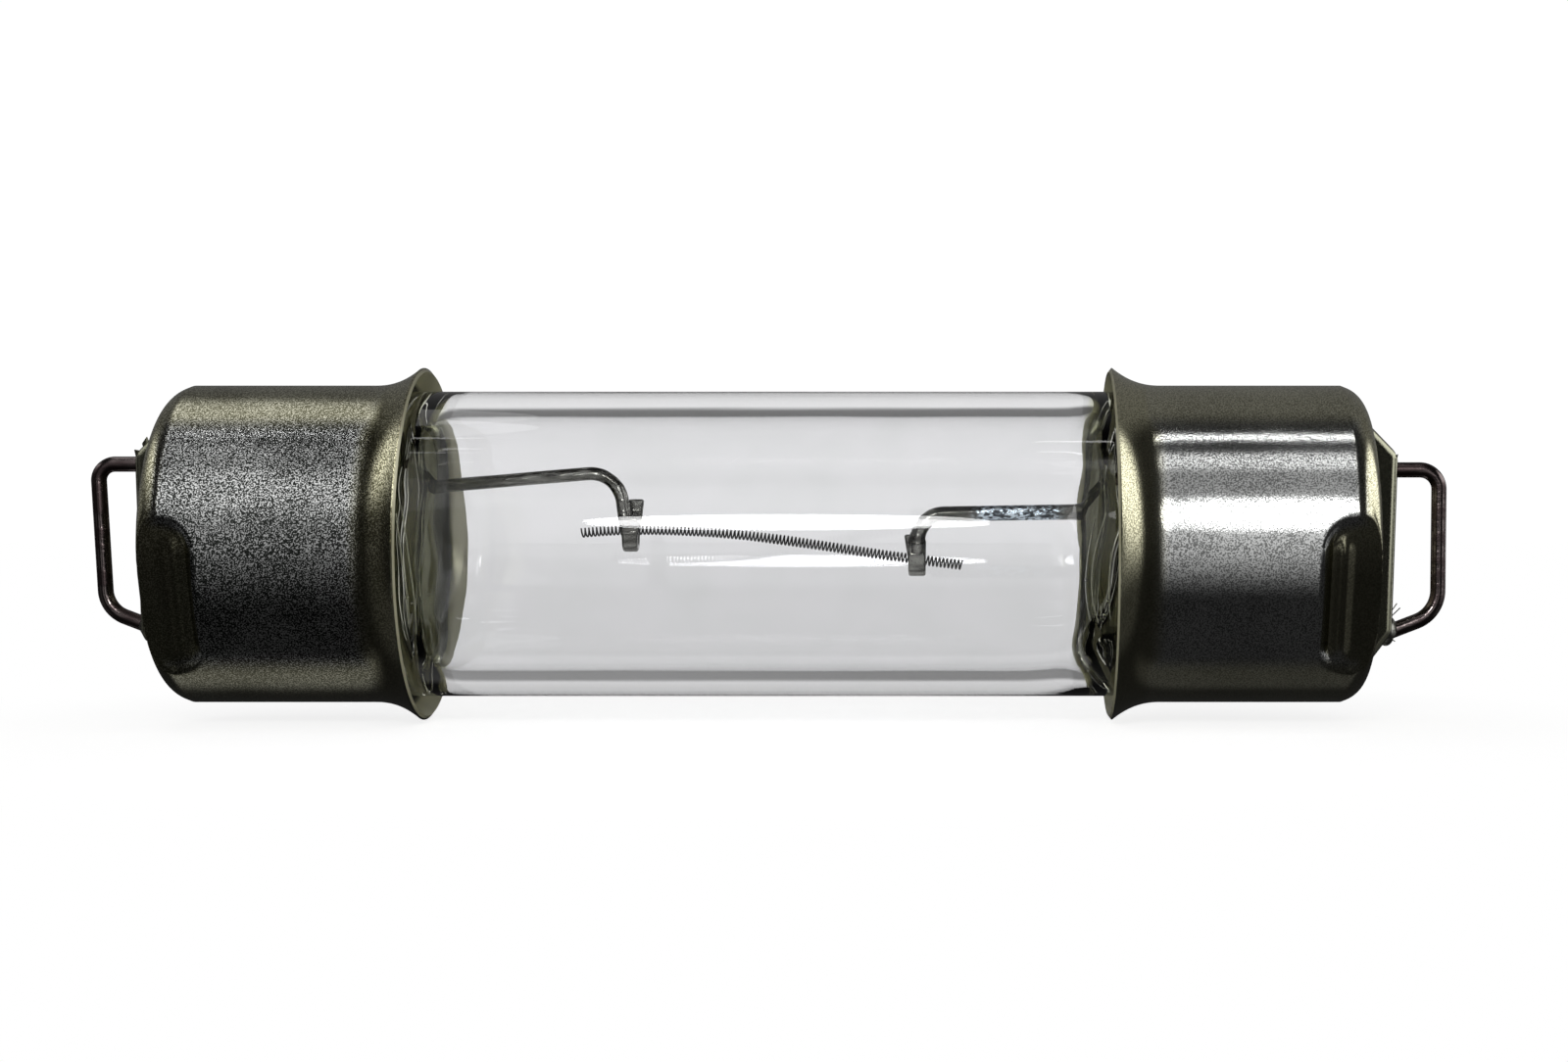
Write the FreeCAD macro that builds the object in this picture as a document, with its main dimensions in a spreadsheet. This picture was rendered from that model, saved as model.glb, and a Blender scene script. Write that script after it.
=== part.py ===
import FreeCAD, Part
import math
import os
import Sketcher

# Miniature light bulb with a rigid wire loop at each end, in millimetres.
# The axis lies along X, Z is up and -Y is the front. The origin is the middle of the glass.

doc = FreeCAD.newDocument("miniature_light_bulb")
sheet = doc.addObject("Spreadsheet::Sheet", "sizes")

driving_sizes = {
    # glass tube whose bore narrows at each end, pinched flat into a press seal
    "glass_diameter": 9.5,
    "glass_wall": 0.76,
    "exposed_glass": 21.4,
    "bore_inset": 0.3,
    "bore_taper": 3.9,
    "bore_tip": 3.4,
    "shoulder_start": 1.7,
    "shoulder_length": 2.0,
    "press_length": 2.7,
    "press_inset": 0.75,
    "press_thickness": 2.4,
    "shoulder_round": 3.6,
    "exhaust_tip_diameter": 1.9,
    "exhaust_tip_length": 0.6,
    # drawn metal end caps with a flared rim, an embossed rib and two crimp dents
    "cap_clearance": 0.03,
    "cap_sheet": 0.16,
    "cap_length": 7.83,
    "cap_corner": 0.75,
    "flare_length": 1.4,
    "flare_rise": 0.55,
    "rib_height": 1.0,
    "rib_inset": 1.24,
    "rib_width": 2.4,
    "rib_drop": 0.2,
    "rib_edge": 0.3,
    "dent_reach": 1.65,
    "dent_width": 4.7,
    "dent_depth": 0.62,
    "dent_round": 0.9,
    "dent_turn": 21,
    "wire_clearance": 0.05,
    # ring of cement between each cap and the pinched glass
    "cement_start": 0.25,
    "cement_clearance": 0.1,
    # rigid loops, each one wire from its weld in the seal out through the cap and back
    "loop_wire": 0.48,
    "loop_reach": 2.67,
    "weld_inset": 0.5,
    "tail_inset": 0.75,
    "solder_foot": 1.2,
    "solder_top": 0.66,
    "solder_height": 0.4,
    # leads inside the glass, each flattened and folded round the coil as a hook
    "lead_wire": 0.42,
    "lead_bend": 0.5,
    "hook_width": 0.64,
    "hook_sheet": 0.26,
    "hook_top": 0.5,
    "hook_under": 0.62,
    "stub_rise": 0.95,
    "grip_clearance": 0.01,
    # coiled filament, held by both hooks: a long close coil, as thick as its wire all round
    "coil_diameter": 0.3,
    "coil_wire": 0.06,
    "coil_tail": 1.45,
}

# What differs between the two hand-bent ends: heights are from the axis, and insets from the cap's rim.
end_sizes = {
    "left": {
        "leg_height": 2.49,
        "bar_lean": 0.28,
        "upper_bend": 0.5,
        "lower_bend": 0.95,
        "tail_height": 2.5,
        "tail_slope": 21,
        "run_inset": 0.2,
        "run_height": 1.79,
        "crest_height": 2.27,
        "crest_bend": 0.8,
        "hook_inset": 6.32,
        "coil_height": 0.43,
    },
    "right": {
        "leg_height": 2.31,
        "bar_lean": 0.05,
        "upper_bend": 0.6,
        "lower_bend": 1.05,
        "tail_height": 2.7,
        "tail_slope": 21,
        "run_inset": 0.5,
        "run_height": 1.0,
        "crest_height": 0.93,
        "crest_bend": 0.45,
        "hook_inset": 6.0,
        "coil_height": -0.5,
    },
}

for end, values in end_sizes.items():
    driving_sizes.update({f"{name}_{end}": value for name, value in values.items()})
for row, (alias, value) in enumerate(driving_sizes.items(), start=1):
    sheet.set(f"A{row}", alias)
    sheet.set(f"B{row}", str(value))
    sheet.setAlias(f"B{row}", alias)
doc.recompute()

# Places that several pieces share, as expressions on the sheet
glass_radius = "(sizes.glass_diameter / 2)"
bore_radius = f"({glass_radius} - sizes.glass_wall)"
press_half_width = f"({glass_radius} - sizes.press_inset)"
rim = "(sizes.exposed_glass / 2)"
shoulder = f"({rim} + sizes.shoulder_start)"
bore_end = f"({shoulder} - sizes.bore_inset)"
bore_half = f"({bore_end} - sizes.bore_taper)"
press_start = f"({shoulder} + sizes.shoulder_length)"
press_end = f"({press_start} + sizes.press_length)"
weld = f"({bore_end} + sizes.weld_inset)"
cap_bore = f"({glass_radius} + sizes.cap_clearance)"
cap_radius = f"({cap_bore} + sizes.cap_sheet)"
cap_end = f"({rim} + sizes.cap_length)"
loop_end = f"({cap_end} + sizes.loop_reach)"
flare_radius = "((sizes.flare_length ^ 2 + sizes.flare_rise ^ 2) / (2 * sizes.flare_rise))"
grip_gap = "(sizes.coil_diameter + 2 * sizes.grip_clearance)"
coil_depth = f"(sizes.hook_sheet / 2 + {grip_gap} / 2)"
hook_place = {end: f"({rim} - sizes.hook_inset_{end})" for end in end_sizes}


def number(expression):
    return float(sheet.evalExpression(expression))


def new_body(label):
    body = doc.addObject("PartDesign::Body", label)
    body.Label = label
    return body


def add_sketch(body, label, plane_role, along="0"):
    """A sketch on one of the body's own origin planes, moved along the plane's normal."""
    sketch = body.newObject("Sketcher::SketchObject", label)
    planes = [plane for plane in body.Origin.OriginFeatures if plane.Role == plane_role]
    sketch.AttachmentSupport = [(planes[0], "")]
    sketch.MapMode = "FlatFace"
    sketch.setExpression(".AttachmentOffset.Base.z", along)
    return sketch


def tilt(sketch, turn):
    """Turns a sketch about its own level axis."""
    sketch.setExpression(".AttachmentOffset.Rotation.Angle", turn)
    sketch.setExpression(".AttachmentOffset.Rotation.Axis.x", "1")
    sketch.setExpression(".AttachmentOffset.Rotation.Axis.z", "0")


def bind(sketch, kind, *arguments, expression):
    index = sketch.addConstraint(Sketcher.Constraint(kind, *arguments, number(expression)))
    sketch.setExpression(f"Constraints[{index}]", expression)


def pin_point(sketch, geometry, place, point):
    bind(sketch, "DistanceX", -1, 1, geometry, place, expression=point[0])
    bind(sketch, "DistanceY", -1, 1, geometry, place, expression=point[1])


def spot(point):
    return FreeCAD.Vector(number(point[0]), number(point[1]), 0)


def arc_between(start, end, radius):
    """The short arc from start to end, with its centre on the left if the radius is positive."""
    chord = end - start
    left = FreeCAD.Vector(-chord.y, chord.x, 0).normalize()
    height = math.sqrt(max(radius ** 2 - (chord.Length / 2) ** 2, 0))
    centre = (start + end) * 0.5 + left * math.copysign(height, radius)
    first, last = (start, end) if radius > 0 else (end, start)
    angles = [math.atan2(place.y - centre.y, place.x - centre.x) for place in (first, last)]
    circle = Part.Circle(centre, FreeCAD.Vector(0, 0, 1), abs(radius))
    return Part.ArcOfCircle(circle, *angles)


def draw_outline(sketch, points):
    """A closed outline of points (x, y), or (x, y, radius) where an arc leads to the point."""
    spots = [spot(point) for point in points]
    edges = []
    for index, point in enumerate(points):
        if len(point) == 2:
            geometry = sketch.addGeometry(Part.LineSegment(spots[index - 1], spots[index]))
            edges.append((geometry, 1, 2))
            continue
        radius = number(point[2])
        geometry = sketch.addGeometry(arc_between(spots[index - 1], spots[index], radius))
        bind(sketch, "Radius", geometry, expression=f"abs({point[2]})")
        edges.append((geometry, 1, 2) if radius > 0 else (geometry, 2, 1))
    for index, point in enumerate(points):
        geometry, _, last = edges[index]
        following, first, _ = edges[(index + 1) % len(points)]
        sketch.addConstraint(Sketcher.Constraint("Coincident", geometry, last, following, first))
        pin_point(sketch, geometry, last, point)


def draw_circle(sketch, centre, diameter):
    circle = Part.Circle(spot(centre), FreeCAD.Vector(0, 0, 1), number(diameter) / 2)
    geometry = sketch.addGeometry(circle)
    pin_point(sketch, geometry, 3, centre)
    bind(sketch, "Diameter", geometry, expression=diameter)


def draw_bent_line(sketch, points, radii):
    """Straight runs through the points, joined by tangent arcs of the given radii."""
    spots = [spot(point) for point in points]
    breaks = [spots[0]]
    for before, corner, after, radius in zip(spots, spots[1:], spots[2:], radii):
        arriving = (corner - before).normalize()
        leaving = (after - corner).normalize()
        back = number(radius) * math.tan(arriving.getAngle(leaving) / 2)
        breaks += [corner - arriving * back, corner + leaving * back]
    breaks.append(spots[-1])
    runs = [sketch.addGeometry(Part.LineSegment(*pair)) for pair in zip(breaks[::2], breaks[1::2])]
    for index, radius in enumerate(radii):
        before, corner, after = spots[index:index + 3]
        turn = (corner - before).cross(after - corner).z
        bend = arc_between(*breaks[2 * index + 1:2 * index + 3], math.copysign(number(radius), turn))
        arc = sketch.addGeometry(bend)
        first, last = (1, 2) if turn > 0 else (2, 1)
        sketch.addConstraint(Sketcher.Constraint("Tangent", runs[index], 2, arc, first))
        sketch.addConstraint(Sketcher.Constraint("Tangent", arc, last, runs[index + 1], 1))
        bind(sketch, "Radius", arc, expression=radius)
        mark = sketch.addGeometry(Part.Point(corner), True)
        pin_point(sketch, mark, 1, points[index + 1])
        for run in runs[index:index + 2]:
            sketch.addConstraint(Sketcher.Constraint("PointOnObject", mark, 1, run))
    pin_point(sketch, runs[0], 1, points[0])
    pin_point(sketch, runs[-1], 2, points[-1])


def revolve(body, label, sketch, kind="PartDesign::Revolution"):
    feature = body.newObject(kind, label)
    feature.Profile = sketch
    feature.ReferenceAxis = (sketch, ["H_Axis"])
    feature.Angle = 360


def extrude(body, label, sketch, length, kind="PartDesign::Pad", midplane=False, forward=True):
    """A pad or pocket of a sketch, along its normal if forward and against it otherwise."""
    feature = body.newObject(kind, label)
    feature.Profile = sketch
    feature.setExpression("Length", length)
    feature.Midplane = midplane
    feature.Reversed = forward == (kind == "PartDesign::Pocket")
    return feature


def sweep(body, label, profile, path):
    feature = body.newObject("PartDesign::AdditivePipe", label)
    feature.Profile = profile
    feature.Spine = path


def combine(kind, label, base, tool):
    feature = doc.addObject(kind, label)
    feature.Label = label
    feature.Base = base
    feature.Tool = tool
    return feature


def build_glass(wires):
    """A tube drawn down to the press width at each end, pinched flat from front and back."""
    body = new_body("glass_blank")
    tube = add_sketch(body, "tube_outline", "XZ_Plane")
    draw_outline(tube, [
        (f"-{press_end}", "0"),
        (f"-{press_end}", press_half_width),
        (f"-{press_start}", press_half_width),
        (f"-{shoulder}", glass_radius),
        (shoulder, glass_radius),
        (press_start, press_half_width),
        (press_end, press_half_width),
        (press_end, "0"),
    ])
    revolve(body, "tube", tube)
    for side, end in ((-1, "left"), (1, "right")):
        for face, facing in ((-1, "front"), (1, "back")):
            pinch_glass(body, side, face, f"{end}_{facing}")
    add_exhaust_tip(body)
    bore = add_sketch(body, "bore_outline", "XZ_Plane")
    draw_outline(bore, [
        (f"-{bore_end}", "0"),
        (f"-{bore_end}", "sizes.bore_tip / 2"),
        (f"-{bore_half}", bore_radius),
        (bore_half, bore_radius),
        (bore_end, "sizes.bore_tip / 2"),
        (bore_end, "0"),
    ])
    revolve(body, "bore", bore, "PartDesign::Groove")
    sealed = doc.addObject("Part::MultiFuse", "sealed_wires")
    sealed.Shapes = wires
    return combine("Part::Cut", "glass_envelope", body, sealed)


def pinch_glass(body, side, face, label):
    """One jaw's print: a rounded shoulder down to the flat of the press, seen from above."""
    flat = "(sizes.press_thickness / 2)"
    outside = "sizes.glass_diameter"
    beyond = f"({press_end} + sizes.exhaust_tip_length)"
    sketch = add_sketch(body, f"pinch_outline_{label}", "XY_Plane")
    draw_outline(sketch, [
        (f"{side} * {beyond}", f"{face} * {flat}"),
        (f"{side} * {press_start}", f"{face} * {flat}"),
        (f"{side} * {shoulder}", f"{face} * {glass_radius}", f"{side * face} * sizes.shoulder_round"),
        (f"{side} * {shoulder}", f"{face} * {outside}"),
        (f"{side} * {beyond}", f"{face} * {outside}"),
    ])
    extrude(body, f"pinch_{label}", sketch, "2 * sizes.glass_diameter", "PartDesign::Pocket", midplane=True)


def add_exhaust_tip(body):
    """The melted-off stump of the exhaust tube, at one end between the wires."""
    tip = add_sketch(body, "exhaust_tip_outline", "XZ_Plane")
    draw_outline(tip, [
        (press_start, "0"),
        (press_start, "sizes.exhaust_tip_diameter / 2"),
        (press_end, "sizes.exhaust_tip_diameter / 2"),
        (f"{press_end} + sizes.exhaust_tip_length", "sizes.exhaust_tip_diameter / 5"),
        (f"{press_end} + sizes.exhaust_tip_length", "0"),
    ])
    revolve(body, "exhaust_tip", tip)


def build_cap_form(side, end, name, inset, steps):
    """A solid the shape of the cap's outside, or of its inside where inset is the sheet's thickness."""
    body = new_body(f"{name}_{end}")
    cup = add_sketch(body, f"{name}_cup_{end}", "XZ_Plane")
    flare = f"({flare_radius} + {inset})"
    flare_centre = (f"({rim} + sizes.flare_length)", f"({cap_radius} + {flare_radius})")
    corner = f"(sizes.cap_corner - {inset})"
    corner_centre = (f"({cap_end} - sizes.cap_corner)", f"({cap_radius} - sizes.cap_corner)")
    flare_turn = f"asin(sizes.flare_length / {flare})"
    draw_outline(cup, [
        (f"{side} * {rim}", "0"),
        (f"{side} * {rim}", f"({flare_centre[1]} - {flare} * cos({flare_turn}))"),
        *reversed(tapers(side, flare_centre, f"-{flare}", flare_turn, steps - 1)),
        *tapers(side, corner_centre, corner, "90", steps),
        (f"{side} * ({cap_end} - {inset})", "0"),
    ])
    revolve(body, f"{name}_turned_{end}", cup)
    add_rib(body, side, end, name, inset)
    add_dents(body, side, end, name, inset)
    return body


def tapers(side, centre, radius, turn, steps):
    """The corners of short straight tapers that follow an arc, each touching it halfway along."""
    step = f"({turn} / {steps})"
    reach = f"({radius} / cos({step} / 2))"
    places = [f"({step} * {index + 0.5})" for index in range(steps)]
    return [(f"{side} * ({centre[0]} + {reach} * sin({place}))", f"({centre[1]} + {reach} * cos({place}))")
            for place in places]


def add_rib(body, side, end, name, inset):
    """The rib across the end, with 45 degree ends, that stands higher at the top than at the bottom."""
    face = f"({cap_end} - {inset})"
    root = f"({cap_radius} - sizes.rib_inset - (sqrt(2) - 1) * {inset})"
    top = "sizes.rib_height"
    bottom = "(sizes.rib_height - sizes.rib_drop)"
    outline = add_sketch(body, f"{name}_rib_outline_{end}", "XZ_Plane")
    draw_outline(outline, [
        (f"{side} * ({face} - sizes.cap_corner)", f"-{root}"),
        (f"{side} * ({face} - sizes.cap_corner)", root),
        (f"{side} * {face}", root),
        (f"{side} * ({face} + {top})", f"({root} - {top})"),
        (f"{side} * ({face} + {bottom})", f"-({root} - {bottom})"),
        (f"{side} * {face}", f"-{root}"),
    ])
    extrude(body, f"{name}_rib_{end}", outline, f"sizes.rib_width - 2 * {inset}", midplane=True)
    if inset == "0":
        round_rib_edges(body, f"{name}_rib_edges_{end}")


def round_rib_edges(body, label):
    """Rounds the long edges of the rib, which are all that stand out past the end of the cap."""
    doc.recompute()
    rib = body.Tip
    half_width = number("sizes.rib_width / 2")
    edges = []
    for index, edge in enumerate(rib.Shape.Edges, start=1):
        places = [vertex.Point for vertex in edge.Vertexes]
        along_side = all(abs(abs(place.y) - half_width) < 0.001 for place in places)
        if along_side and abs(edge.CenterOfMass.x) > number(cap_end) + 0.001:
            edges.append(f"Edge{index}")
    fillet = body.newObject("PartDesign::Fillet", label)
    fillet.Base = (rib, edges)
    fillet.setExpression("Radius", "sizes.rib_edge")


def add_dents(body, side, end, name, inset):
    """Two opposite dents where the corner was crimped in, turned a little from level."""
    floor = f"({cap_radius} - sizes.dent_depth - {inset})"
    half_width = f"(sizes.dent_width / 2 + {inset})"
    inner = f"({cap_end} - sizes.dent_reach - {inset})"
    outer = f"({cap_end} + sizes.rib_height)"
    round_radius = f"(sizes.dent_round + {inset})"
    sketch = add_sketch(body, f"{name}_dent_outline_{end}", "XZ_Plane", f"cos(sizes.dent_turn) * {floor}")
    sketch.setExpression(".AttachmentOffset.Base.y", f"-sin(sizes.dent_turn) * {floor}")
    tilt(sketch, "sizes.dent_turn")
    draw_outline(sketch, [
        (f"{side} * {outer}", f"-{half_width}"),
        (f"{side} * ({inner} + {round_radius})", f"-{half_width}"),
        (f"{side} * {inner}", f"-({half_width} - {round_radius})", f"-{side} * {round_radius}"),
        (f"{side} * {inner}", f"({half_width} - {round_radius})"),
        (f"{side} * ({inner} + {round_radius})", half_width, f"-{side} * {round_radius}"),
        (f"{side} * {outer}", half_width),
    ])
    reach = "2 * sizes.dent_depth + sizes.cap_sheet"
    dent = extrude(body, f"{name}_dent_{end}", sketch, reach, "PartDesign::Pocket")
    pattern = body.newObject("PartDesign::PolarPattern", f"{name}_dents_{end}")
    pattern.Originals = [dent]
    axes = [axis for axis in body.Origin.OriginFeatures if axis.Role == "X_Axis"]
    pattern.Axis = (axes[0], [""])
    pattern.Angle = 360
    pattern.Occurrences = 2
    body.Tip = pattern


def build_loop(side, end, label, diameter):
    """The loop wire: from its weld through the seal, out of the rib, round and back in."""
    body = new_body(label)
    bar = f"({loop_end} - sizes.loop_wire / 2)"
    rib_top = f"({cap_end} + sizes.rib_height)"
    leg = f"sizes.leg_height_{end}"
    slope = f"tan(sizes.tail_slope_{end})"
    foot = f"({bar} - sizes.bar_lean_{end})"
    tail = f"({cap_end} - sizes.tail_inset)"
    path = add_sketch(body, f"{label}_path", "XZ_Plane")
    draw_bent_line(path, [
        (f"{side} * {weld}", leg),
        (f"{side} * {bar}", leg),
        (f"{side} * {foot}", f"-sizes.tail_height_{end} + {slope} * ({foot} - {rib_top})"),
        (f"{side} * {tail}", f"-sizes.tail_height_{end} - {slope} * ({rib_top} - {tail})"),
    ], [f"sizes.upper_bend_{end}", f"sizes.lower_bend_{end}"])
    section = add_sketch(body, f"{label}_section", "YZ_Plane", f"{side} * {weld}")
    draw_circle(section, ("0", leg), diameter)
    sweep(body, f"{label}_wire", section, path)
    return body


def build_lead(side, end, loop):
    """The lead inside the glass, flattened at its end and folded round the back of the coil."""
    label = f"inner_lead_{end}"
    body = new_body(f"{label}_wire")
    weld_height = f"sizes.leg_height_{end}"
    coil = f"sizes.coil_height_{end}"
    run = f"({rim} - sizes.run_inset_{end})"
    hook = f"{side} * {hook_place[end]}"
    blade_top = f"({coil} + sizes.hook_top)"
    path = add_sketch(body, f"{label}_path", "XZ_Plane")
    draw_bent_line(path, [
        (f"{side} * {weld}", weld_height),
        (f"{side} * {run}", f"sizes.run_height_{end}"),
        (hook, f"sizes.crest_height_{end}"),
        (hook, blade_top),
    ], ["sizes.lead_bend", f"sizes.crest_bend_{end}"])
    slope = f"atan(({weld_height} - sizes.run_height_{end}) / ({weld} - {run}))"
    section = add_sketch(body, f"{label}_section", "YZ_Plane", f"{side} * {weld}")
    section.setExpression(".AttachmentOffset.Base.y", weld_height)
    tilt(section, f"-{side} * {slope}")
    draw_circle(section, ("0", "0"), "sizes.lead_wire")
    sweep(body, f"{label}_run", section, path)
    fold = add_sketch(body, f"{label}_fold", "YZ_Plane", hook)
    draw_fold(fold, coil, blade_top)
    extrude(body, f"{label}_hook", fold, "sizes.hook_width", midplane=True)
    return combine("Part::Cut", label, body, loop)


def draw_fold(sketch, coil, blade_top):
    """A U seen along the coil: down in front of it, round below and up behind."""
    inner_radius = f"({grip_gap} / 2)"
    outer_radius = f"({inner_radius} + sizes.hook_sheet)"
    centre = f"({coil} - sizes.hook_under + {outer_radius})"
    stub = f"({coil} + sizes.stub_rise)"
    draw_outline(sketch, [
        (f"{coil_depth} - {outer_radius}", blade_top),
        (f"{coil_depth} - {outer_radius}", centre),
        (coil_depth, f"{centre} - {outer_radius}", outer_radius),
        (f"{coil_depth} + {outer_radius}", centre, outer_radius),
        (f"{coil_depth} + {outer_radius}", stub),
        (f"{coil_depth} + {inner_radius}", stub),
        (f"{coil_depth} + {inner_radius}", centre),
        (coil_depth, f"{centre} - {inner_radius}", f"-{inner_radius}"),
        (f"{coil_depth} - {inner_radius}", centre, f"-{inner_radius}"),
        (f"{coil_depth} - {inner_radius}", blade_top),
    ])


def build_filament():
    """The close coil as a tube, straight between its hooks, with a short tail past each."""
    body = new_body("filament")
    span = f"({hook_place['left']} + {hook_place['right']})"
    drop = "(sizes.coil_height_left - sizes.coil_height_right)"
    length = f"(sqrt({span} ^ 2 + {drop} ^ 2) + 2 * sizes.coil_tail)"
    section = add_sketch(body, "coil_section", "YZ_Plane")
    draw_circle(section, ("0", "0"), "sizes.coil_diameter")
    draw_circle(section, ("0", "0"), "(sizes.coil_diameter - 2 * sizes.coil_wire)")
    extrude(body, "coil", section, length, midplane=True)
    body.setExpression(".Placement.Base.x", f"({hook_place['right']} - {hook_place['left']}) / 2")
    body.setExpression(".Placement.Base.y", coil_depth)
    body.setExpression(".Placement.Base.z", "(sizes.coil_height_left + sizes.coil_height_right) / 2")
    body.setExpression(".Placement.Rotation.Angle", f"atan({drop} / {span})")
    body.setExpression(".Placement.Rotation.Axis.y", "1")
    body.setExpression(".Placement.Rotation.Axis.z", "0")
    return body


def build_cement(side, end, glass, loop):
    """A ring of cement that bonds the cap's wall to the pinched glass, between shoulder and dents."""
    ring = doc.addObject("Part::Cylinder", f"cement_ring_{end}")
    start = f"({shoulder} + sizes.cement_start)"
    stop = f"({cap_end} - sizes.dent_reach - sizes.cap_sheet - sizes.cement_clearance)"
    ring.setExpression("Radius", cap_bore)
    ring.setExpression("Height", f"{stop} - {start}")
    turned = FreeCAD.Rotation(FreeCAD.Vector(0, 1, 0), 90 * side)
    ring.Placement = FreeCAD.Placement(FreeCAD.Vector(), turned)
    ring.setExpression(".Placement.Base.x", f"{side} * {start}")
    moulded = combine("Part::Cut", f"cement_on_glass_{end}", ring, glass)
    return combine("Part::Cut", f"basing_cement_{end}", moulded, loop)


def build_solder(side, end, cap_outside, loop):
    """A small mound where the loop's wire goes back into the rib."""
    mound = doc.addObject("Part::Cone", f"solder_mound_{end}")
    foot = f"({cap_end} + sizes.rib_height - sizes.rib_drop - sizes.solder_height)"
    mound.setExpression("Radius1", "sizes.solder_foot / 2")
    mound.setExpression("Radius2", "sizes.solder_top / 2")
    mound.setExpression("Height", "2 * sizes.solder_height")
    turned = FreeCAD.Rotation(FreeCAD.Vector(0, 1, 0), 90 * side)
    mound.Placement = FreeCAD.Placement(FreeCAD.Vector(), turned)
    mound.setExpression(".Placement.Base.x", f"{side} * {foot}")
    mound.setExpression(".Placement.Base.z", f"-sizes.tail_height_{end}")
    seated = combine("Part::Cut", f"solder_on_cap_{end}", mound, cap_outside)
    return combine("Part::Cut", f"solder_{end}", seated, loop)


ends = ((-1, "left"), (1, "right"))
loops = {end: build_loop(side, end, f"loop_wire_{end}", "sizes.loop_wire") for side, end in ends}
leads = {end: build_lead(side, end, loops[end]) for side, end in ends}
glass_envelope = build_glass([*loops.values(), *leads.values()])
nodes = [glass_envelope, build_filament(), *loops.values(), *leads.values()]
for side, end in ends:
    passage = build_loop(side, end, f"wire_passage_{end}", "sizes.loop_wire + 2 * sizes.wire_clearance")
    outside = build_cap_form(side, end, "cap_outside", "0", 4)
    inside = build_cap_form(side, end, "cap_inside", "sizes.cap_sheet", 3)
    shell = combine("Part::Cut", f"cap_shell_{end}", outside, inside)
    nodes.append(combine("Part::Cut", f"end_cap_{end}", shell, passage))
    nodes.append(build_cement(side, end, glass_envelope, loops[end]))
    nodes.append(build_solder(side, end, outside, loops[end]))

doc.recompute()
for item in doc.Objects:
    if "Invalid" in item.State or "Error" in item.State:
        raise RuntimeError(f"{item.Label} failed to build")
os.makedirs("parts", exist_ok=True)
for node in nodes:
    if node.Shape.isNull() or not node.Shape.isValid():
        raise RuntimeError(f"{node.Label} has no valid shape")
    node.Shape.exportStep(f"parts/{node.Label}.step")
    print(f"{node.Label}: {len(node.Shape.Solids)} solid, {node.Shape.Volume:.4f} mm3")
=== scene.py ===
import math
import bpy
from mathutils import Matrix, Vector, noise


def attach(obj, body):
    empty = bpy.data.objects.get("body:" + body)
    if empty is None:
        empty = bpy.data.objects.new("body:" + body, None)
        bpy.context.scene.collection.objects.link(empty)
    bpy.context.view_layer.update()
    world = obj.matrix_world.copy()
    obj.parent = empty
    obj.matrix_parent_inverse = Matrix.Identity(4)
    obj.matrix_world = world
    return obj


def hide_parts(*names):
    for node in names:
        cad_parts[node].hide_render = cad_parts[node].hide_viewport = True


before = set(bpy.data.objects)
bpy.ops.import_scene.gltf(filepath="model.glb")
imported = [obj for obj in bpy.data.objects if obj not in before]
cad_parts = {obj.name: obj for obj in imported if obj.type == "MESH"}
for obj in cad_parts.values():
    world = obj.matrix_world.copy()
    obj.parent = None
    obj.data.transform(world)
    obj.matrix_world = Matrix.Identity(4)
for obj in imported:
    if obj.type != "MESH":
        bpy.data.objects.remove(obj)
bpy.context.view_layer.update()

# Miniature light bulb: looks for the CAD frame. Sizes below are in millimetres,
# the axis lies along X, Z is up and the front faces -Y.
mm = 0.001
ends = {"left": -1, "right": 1}


def clearSelection():
    if bpy.context.object and bpy.context.object.mode != "OBJECT":
        bpy.ops.object.mode_set(mode="OBJECT")
    bpy.ops.object.select_all(action="DESELECT")


def startRing(name, place, radius, count):
    # a ring of points round the axis, left open in edit mode
    clearSelection()
    bpy.ops.mesh.primitive_circle_add(vertices=count, radius=radius * mm,
                                      location=(place * mm, 0, 0), rotation=(0, math.pi / 2, 0))
    piece = bpy.context.object
    piece.name = name
    bpy.ops.object.transform_apply(location=True, rotation=True, scale=True)
    bpy.ops.object.mode_set(mode="EDIT")
    bpy.ops.mesh.select_all(action="SELECT")
    return piece


def drawRings(stations):
    # extrudes the picked ring from station to station, each (place, radius)
    for (place, radius), (newPlace, newRadius) in zip(stations, stations[1:]):
        bpy.ops.mesh.extrude_region_move(TRANSFORM_OT_translate={"value": ((newPlace - place) * mm, 0, 0)})
        scale = newRadius / radius
        bpy.ops.transform.resize(value=(1, scale, scale), center_override=(newPlace * mm, 0, 0))


def pick(piece, kind, test):
    # picks the faces, edges or points whose middle passes the test, in millimetres
    bpy.ops.mesh.select_mode(type=kind)
    bpy.ops.mesh.select_all(action="DESELECT")
    bpy.ops.object.mode_set(mode="OBJECT")
    mesh = piece.data
    items = {"FACE": mesh.polygons, "EDGE": mesh.edges, "VERT": mesh.vertices}[kind]
    for item in items:
        if kind == "FACE":
            spot = item.center
        elif kind == "EDGE":
            spot = (mesh.vertices[item.vertices[0]].co + mesh.vertices[item.vertices[1]].co) / 2
        else:
            spot = item.co
        item.select = test(spot / mm)
    bpy.ops.object.mode_set(mode="EDIT")


def leaveEdit(piece, angle=35):
    # closes the edit: doubles merged, faces outwards, smooth up to the angle
    bpy.ops.mesh.select_mode(type="VERT")
    bpy.ops.mesh.select_all(action="SELECT")
    bpy.ops.mesh.remove_doubles(threshold=0.000002)
    bpy.ops.mesh.normals_make_consistent(inside=False)
    bpy.ops.object.mode_set(mode="OBJECT")
    smooth(piece, angle)


def smooth(piece, angle=35):
    clearSelection()
    piece.select_set(True)
    bpy.context.view_layer.objects.active = piece
    bpy.ops.object.shade_smooth_by_angle(angle=math.radians(angle))


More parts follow.
